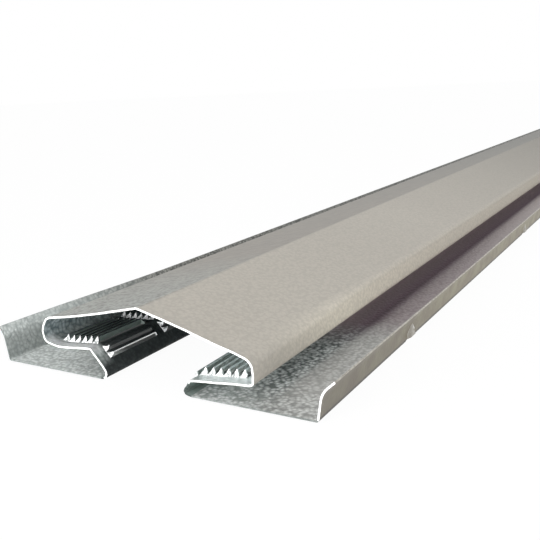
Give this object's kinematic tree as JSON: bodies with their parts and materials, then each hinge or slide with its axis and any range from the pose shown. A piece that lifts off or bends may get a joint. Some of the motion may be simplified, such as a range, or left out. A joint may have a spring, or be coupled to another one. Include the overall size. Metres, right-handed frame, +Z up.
{
  "type": "ridge vent",
  "caption": "Roll-formed aluminium roof ridge vent: a shallow gabled cover over louvred air slots, with flat nailing bases and upturned wind baffles along both sides.",
  "frame": {"origin": "middle of the length, midway across, on the plane that the underside of the base lies on", "axes": "+X across the vent, +Y along the ridge, +Z up out of the roof"},
  "size_m": [0.2594, 3.048, 0.0507],
  "materials": {
    "coated_sheet": "satin taupe paint over stucco-embossed aluminium"
  },
  "bodies": {
    "root": {"vent_body": "coated_sheet"}
  },
  "joints": []
}
